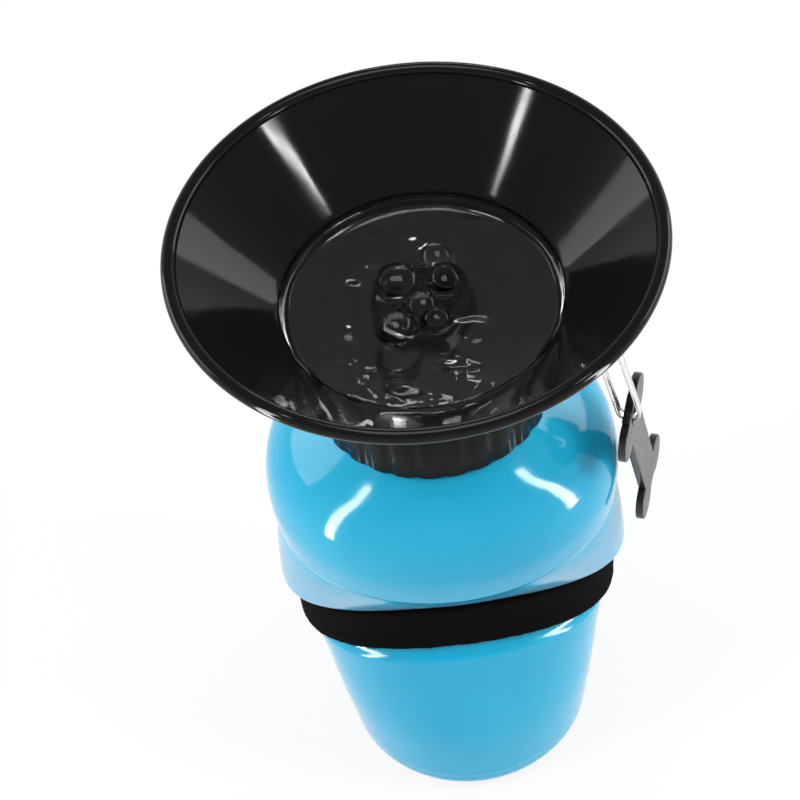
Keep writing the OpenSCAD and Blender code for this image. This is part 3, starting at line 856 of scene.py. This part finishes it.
def water_piece():
    """The water in the bowl's well, a closed body with a rippled top."""
    w = settings("bowl")
    floor_z = bowl_foot_z() + w.shell_t
    level = floor_z + w.water_depth
    reach = w.well_r - 0.1 * MM
    rings, segments = 120, 240
    top = [(reach * i / rings, level) for i in range(rings, 0, -1)]
    profile = [(w.well_r - w.inside_foot, floor_z + 0.1 * MM)]
    profile += arc(w.well_r - w.inside_foot, floor_z + w.inside_foot, w.inside_foot - 0.1 * MM, -60, 0, 4)
    under = len(profile)
    points = lathe_rows(profile + top, segments)
    for i in range(under * segments, len(points)):
        x, y, z = points[i]
        points[i] = (x, y, z + water_height(x, y))
    faces = capped_faces(len(profile) + rings, segments)
    return new_piece("bowl_water", points, faces, [finish(water)])


# ---------------------------------------------------------------- link and tag

UP = Vector((0, 0, 1))
# play between the link and the eye's bar
LINK_PLAY = 0.05 * MM
# rounding of the tag's edges
TAG_BEVEL = 0.35 * MM


def hang_frame():
    """The frame at the eye: outwards, along the side, and the eye's place."""
    t = settings("tag")
    low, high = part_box("tag_ring")
    out = Vector((math.cos(t.eye_angle), math.sin(t.eye_angle), 0))
    side = Vector((-out.y, out.x, 0))
    return out, side, out * t.eye_reach + UP * ((low.z + high.z) / 2)


def link_hang():
    """The link's direction, and how far the centre of its upper end lies along it from the eye."""
    t = settings("tag")
    out = hang_frame()[0]
    down = (out * math.sin(t.link_lean) - UP * math.cos(t.link_lean)).normalized()
    return down, t.link_inner - t.eye_bar_r - LINK_PLAY


def link_piece():
    """The link: a flat strip with rounded edges, bent into a long loop."""
    t = settings("tag")
    _, side, eye = hang_frame()
    down, drop = link_hang()
    across = side.cross(down).normalized()
    middle = t.link_inner + t.link_t / 2
    steps = 24
    path = [(math.pi * i / steps, drop) for i in range(steps + 1)]
    path += [(math.pi + math.pi * i / steps, drop + t.link_l) for i in range(steps + 1)]
    e = t.link_t * 0.22
    half_t, half_w = t.link_t / 2, t.link_w / 2
    corners = [(half_t, half_w), (-half_t, half_w), (-half_t, -half_w), (half_t, -half_w)]
    section = []
    for x, y in corners:
        inner_x, inner_y = x - math.copysign(e, x), y - math.copysign(e, y)
        corner = [(inner_x + math.copysign(e * math.sin(q), x), inner_y + math.copysign(e * math.cos(q), y))
                  for q in (0, math.pi / 4, math.pi / 2)]
        section += corner if x * y > 0 else corner[::-1]
    points = []
    for angle, along in path:
        away = across * math.cos(angle) - down * math.sin(angle)
        centre = eye + down * along
        points += [centre + away * (middle + x) + side * y for x, y in section]
    faces = strip_faces(len(path), len(section), loop_rows=True)
    return sharpen(new_piece("metal_link", points, faces, [finish(bright_metal)]), 40)


def tag_outline(t):
    """The bone's outline with the link's bar at the origin, (side, height) pairs: right half, then left."""
    shaft = math.degrees(math.acos((t.shaft_half - t.lobe_offset) / t.lobe_r))
    ear_half = t.link_w / 2 + t.side_room + t.ear_side
    crown = math.degrees(math.acos((ear_half - t.lobe_offset) / t.lobe_r))
    cleft = 180 - math.degrees(math.asin((t.lobe_r - t.cleft) / t.lobe_r))
    right = [(ear_half, t.bar_h / 2)]
    right += arc(t.lobe_offset, -t.ear_rise, t.lobe_r, crown, -shaft, 20)
    right += arc(t.lobe_offset, -t.ear_rise - t.tag_l, t.lobe_r, shaft, -cleft, 24)
    return right + [(-x, z) for x, z in reversed(right)]


def tag_slot(t):
    """The slot under the bar that the link goes round, (side, height) pairs."""
    half = t.link_w / 2 + t.side_room
    top = -t.bar_h / 2
    foot = top - (t.link_inner + t.link_t + 3 * FREE_GAP - t.bar_h / 2)
    return [(-half, top), (half, top), (half, foot), (-half, foot)]


def plate_mesh(name, loops, thickness, bevel):
    """A flat plate with rounded edges, from an outline and the slots in it."""
    flat = bpy.data.curves.new(name, "CURVE")
    flat.dimensions = "2D"
    flat.fill_mode = "BOTH"
    flat.extrude = thickness / 2 - bevel
    flat.bevel_depth = bevel
    flat.bevel_resolution = 3
    flat.offset = -bevel
    for loop in loops:
        spline = flat.splines.new("POLY")
        spline.points.add(len(loop) - 1)
        spline.use_cyclic_u = True
        for point, (x, z) in zip(spline.points, loop):
            point.co = (x, z, 0, 1)
    curve = add_object(name + "_curve", flat)
    mesh = bpy.data.meshes.new_from_object(curve.evaluated_get(bpy.context.evaluated_depsgraph_get()))
    bpy.data.objects.remove(curve)
    mesh.materials.clear()
    return mesh


def tag_piece():
    """The bone-shaped tag: a plate with dark rounded edges and a slot for the link; the grey of its flat
    faces is a painted reflection.
    """
    t = settings("tag")
    out, side, eye = hang_frame()
    down, drop = link_hang()
    hang = eye + down * (drop + t.link_l)
    turn = Matrix.Rotation(t.tag_lean, 3, out)
    mesh = plate_mesh("bone_tag_plate", (tag_outline(t), tag_slot(t)), t.tag_t, TAG_BEVEL)
    for make in (tag_grey, tag_dark):
        mesh.materials.append(finish(make))
    work = bmesh.new()
    work.from_mesh(mesh)
    bmesh.ops.remove_doubles(work, verts=work.verts, dist=1e-6)
    bmesh.ops.recalc_face_normals(work, faces=work.faces)
    for face in work.faces:
        # the flat faces take the painted grey reflection, the rounded edges the tag's own dark
        face.material_index = 0 if abs(face.normal.z) > 0.97 else 1
        face.smooth = True
    work.to_mesh(mesh)
    work.free()
    basis = Matrix((turn @ side, turn @ UP, out)).transposed()
    for vertex in mesh.vertices:
        vertex.co = hang + basis @ vertex.co
    return sharpen(add_object("bone_tag_plate", mesh), 35)


# ---------------------------------------------------------------- stage

# how much of the floor's look is plain white, so that the rest keeps the shadow
PALE_SHARE = 0.85
FLOOR_WHITE = 0.88
FLOOR_REACH = 6
CAMERA = {"lens": 125.5, "place": (0, -0.48006, 0.71758), "yaw": -0.0191, "pitch": 0.8744, "roll": -0.1389}


def make_camera():
    """The camera, long and high in front of the bottle."""
    yaw, pitch, roll = CAMERA["yaw"], CAMERA["pitch"], CAMERA["roll"]
    forward = Vector((math.sin(yaw) * math.cos(pitch), math.cos(yaw) * math.cos(pitch), -math.sin(pitch)))
    level = Vector((math.cos(yaw), -math.sin(yaw), 0))
    upright = level.cross(forward)
    right = math.cos(roll) * level + math.sin(roll) * upright
    up = math.cos(roll) * upright - math.sin(roll) * level
    data = bpy.data.cameras.new("Camera")
    data.lens = CAMERA["lens"]
    data.sensor_width = 36
    data.clip_end = 20
    camera = add_object("Camera", data)
    turn = Matrix((right, up, -forward)).transposed().to_4x4()
    camera.matrix_world = Matrix.Translation(CAMERA["place"]) @ turn
    bpy.context.scene.camera = camera


def lamp(name, place, target, width, height, watts, lean=0, fills=True, shows=True):
    """A soft rectangular lamp that faces a target; one may fill without showing in gloss, or only show."""
    data = bpy.data.lights.new(name, "AREA")
    data.shape = "RECTANGLE"
    data.size, data.size_y = width, height
    data.energy = watts
    light = add_object(name, data)
    light.matrix_world = (Matrix.Translation(place)
                          @ (Vector(target) - Vector(place)).to_track_quat("-Z", "Y").to_matrix().to_4x4()
                          @ Matrix.Rotation(math.radians(lean), 4, "Z"))
    light.visible_camera = False
    light.visible_diffuse = fills
    light.visible_glossy = shows


def make_lamps():
    """Fill lamps, side windows and a lamp overhead, and narrow strips that only gloss shows."""
    middle = (0, 0, 0.15)
    lamp("left_fill", (-0.522, -0.25, 0.698), middle, 0.2, 0.4, 2.8, shows=False)
    lamp("right_fill", (0.531, -0.231, 0.693), middle, 0.2, 0.4, 2.8, shows=False)
    # streaks down the bowl's cone
    lamp("left_strip", (-0.5415, -0.204, 0.827), middle, 0.036, 0.035, 0.28, -27, fills=False)
    lamp("right_strip", (0.5415, -0.203, 0.825), middle, 0.022, 0.075, 0.36, 47, fills=False)
    # glints on the water
    lamp("back_strip", (0.04, 0.75, 0.6), (0, 0, 0.19), 0.14, 0.03, 0.33, fills=False)
    # arcs on the bottle's shoulder
    for name, side, lean in (("left_low_strip", -1, -8), ("right_low_strip", 1, 13)):
        lamp(name, (side * 0.211, -0.1145, 0.132), (side * 0.03, -0.03, 0.132), 0.0245, 0.25, 0.53, lean,
             fills=False)
    lamp("left_window", (-0.9, 0.33, 0.42), middle, 0.7, 0.4, 2.9)
    lamp("right_window", (0.9, 0.33, 0.42), middle, 0.7, 0.4, 2.9)
    lamp("overhead", (0, 0.05, 1.3), middle, 0.6, 0.6, 4.6)


def pale_for_eye(tree, shaded):
    """Mixes a plain white into what the camera, gloss and glass see of a surface."""
    path = tree.nodes.new("ShaderNodeLightPath")
    seen = path.outputs["Is Camera Ray"]
    for ray in ("Is Glossy Ray", "Is Transmission Ray"):
        seen = math_node(tree, "MAXIMUM", seen, path.outputs[ray])
    share = math_node(tree, "MULTIPLY", seen, PALE_SHARE)
    mix = tree.nodes.new("ShaderNodeMixShader")
    for socket, value in zip(mix.inputs, (share, shaded, add_node(tree, "Emission", 0))):
        feed(tree, socket, value)
    return mix.outputs[0]


def make_floor():
    """A wide pale floor that keeps the bottle's shadow."""
    corners = [(x * FLOOR_REACH, y * FLOOR_REACH, 0) for x, y in ((-1, -1), (1, -1), (1, 1), (-1, 1))]
    pale = Finish("pale_floor", Base_Color=(FLOOR_WHITE,) * 3, Roughness=1.0, Specular_IOR_Level=0.0)
    surface = pale.tree.nodes["Material Output"].inputs["Surface"]
    feed(pale.tree, surface, pale_for_eye(pale.tree, pale.shader.outputs[0]))
    floor = new_piece("pale_floor", corners, [[0, 1, 2, 3]], [pale.material])


def make_world():
    """A soft white surround, bright at the sides and dimmer overhead."""
    world = bpy.data.worlds.new("studio")
    world.use_nodes = True
    tree = world.node_tree
    background = tree.nodes["Background"]
    feed(tree, background.inputs["Color"], (1, 1, 1))
    height = add_node(tree, "SeparateXYZ", "Z", Vector=add_node(tree, "TexCoord", "Generated"))
    feed(tree, background.inputs["Strength"],
         add_node(tree, "MapRange", "Result", Value=height, From_Min=0.15, From_Max=0.6, To_Min=0.84,
                  To_Max=0.26))
    bpy.context.scene.world = world
    bpy.context.scene.view_settings.view_transform = "Standard"


# ---------------------------------------------------------------- operators

def fit(piece, body, node):
    """Puts a piece on its body, in the place of a node, which it hides."""
    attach(piece, body)
    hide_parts(node)


class DOGBOTTLE_OT_bottle(bpy.types.Operator):
    """Build the soft bottle with its neck and thread"""
    bl_idname = "dog_bottle.bottle"
    bl_label = "Bottle"
    bl_options = {"REGISTER", "UNDO"}

    def execute(self, context):
        fit(bottle_piece(), "bottle", "bottle_body")
        return {"FINISHED"}


class DOGBOTTLE_OT_strap(bpy.types.Operator):
    """Build the hand strap, its hook patch and its free end"""
    bl_idname = "dog_bottle.strap"
    bl_label = "Hand strap"
    bl_options = {"REGISTER", "UNDO"}

    def execute(self, context):
        s = settings("strap")
        band = strap_band_piece()
        low, high = s.edge_round, s.width - s.edge_round / 2
        patch_in = s.thickness + LAYER_GAP
        patch_out = patch_in + s.hook_thickness
        patch = strap_end_piece("strap_hooks", PATCH_SPAN, low + 2 * MM, high - 2 * MM, patch_in, patch_out,
                                hook_black, 0)
        end_in = patch_out + LAYER_GAP
        end = strap_end_piece("strap_end", END_SPAN, low, high, end_in, end_in + s.end_thickness,
                              strap_black, 700)
        fit(band, "bottle", "hand_strap")
        fit(patch, "bottle", "strap_hook_patch")
        fit(end, "bottle", "strap_free_end")
        return {"FINISHED"}


class DOGBOTTLE_OT_collar(bpy.types.Operator):
    """Build the fluted screw collar"""
    bl_idname = "dog_bottle.collar"
    bl_label = "Screw collar"
    bl_options = {"REGISTER", "UNDO"}

    def execute(self, context):
        fit(collar_piece(), "collar", "screw_collar")
        return {"FINISHED"}


class DOGBOTTLE_OT_bowl(bpy.types.Operator):
    """Build the drinking bowl and the water in it"""
    bl_idname = "dog_bottle.bowl"
    bl_label = "Drinking bowl"
    bl_options = {"REGISTER", "UNDO"}

    def execute(self, context):
        fit(bowl_piece(), "bowl", "drinking_bowl")
        if settings("bowl").show_water:
            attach(water_piece(), "bowl")
        return {"FINISHED"}


class DOGBOTTLE_OT_fittings(bpy.types.Operator):
    """Finish the seals, the dip tube, its holder, the outlet cap and the tag ring"""
    bl_idname = "dog_bottle.fittings"
    bl_label = "Fittings"
    bl_options = {"REGISTER", "UNDO"}

    def execute(self, context):
        for node, make in (("bowl_gasket", silicone), ("holder_seal", silicone), ("dip_tube", clear_tube),
                           ("tube_holder", gloss_black), ("outlet_cap", gloss_black),
                           ("tag_ring", ring_rubber)):
            dress_node(node, make)
        return {"FINISHED"}


class DOGBOTTLE_OT_tag(bpy.types.Operator):
    """Build the metal link and the bone-shaped tag"""
    bl_idname = "dog_bottle.tag"
    bl_label = "Link and tag"
    bl_options = {"REGISTER", "UNDO"}

    def execute(self, context):
        fit(link_piece(), "link", "wire_link")
        fit(tag_piece(), "tag", "bone_tag")
        return {"FINISHED"}


class DOGBOTTLE_OT_stage(bpy.types.Operator):
    """Set the camera, the lamps, the pale floor and the surround"""
    bl_idname = "dog_bottle.stage"
    bl_label = "Stage"
    bl_options = {"REGISTER", "UNDO"}

    def execute(self, context):
        make_camera()
        make_world()
        make_floor()
        make_lamps()
        return {"FINISHED"}


class DOGBOTTLE_PT_panel(bpy.types.Panel):
    """The bottle's pieces and its stage"""
    bl_idname = "DOGBOTTLE_PT_panel"
    bl_label = "Dog Bottle"
    bl_space_type = "VIEW_3D"
    bl_region_type = "UI"
    bl_category = "Dog Bottle"

    def draw(self, context):
        for operator in OPERATORS:
            self.layout.operator(operator.bl_idname)
        self.layout.prop(settings("bowl"), "show_water")


OPERATORS = (DOGBOTTLE_OT_bottle, DOGBOTTLE_OT_strap, DOGBOTTLE_OT_collar, DOGBOTTLE_OT_bowl,
             DOGBOTTLE_OT_fittings, DOGBOTTLE_OT_tag, DOGBOTTLE_OT_stage)


def register():
    """Registers the settings, the operators and the panel."""
    for name, group in SETTINGS.items():
        bpy.utils.register_class(group)
        setattr(bpy.types.Scene, "dog_bottle_" + name, bpy.props.PointerProperty(type=group))
    for cls in (*OPERATORS, DOGBOTTLE_PT_panel):
        bpy.utils.register_class(cls)


def unregister():
    """Takes away what register added."""
    for cls in reversed((*OPERATORS, DOGBOTTLE_PT_panel)):
        bpy.utils.unregister_class(cls)
    for name, group in reversed(SETTINGS.items()):
        delattr(bpy.types.Scene, "dog_bottle_" + name)
        bpy.utils.unregister_class(group)


def main():
    """Builds every piece."""
    register()
    for operator in OPERATORS:
        module, name = operator.bl_idname.split(".")
        getattr(getattr(bpy.ops, module), name)()


if __name__ == "__main__":
    main()
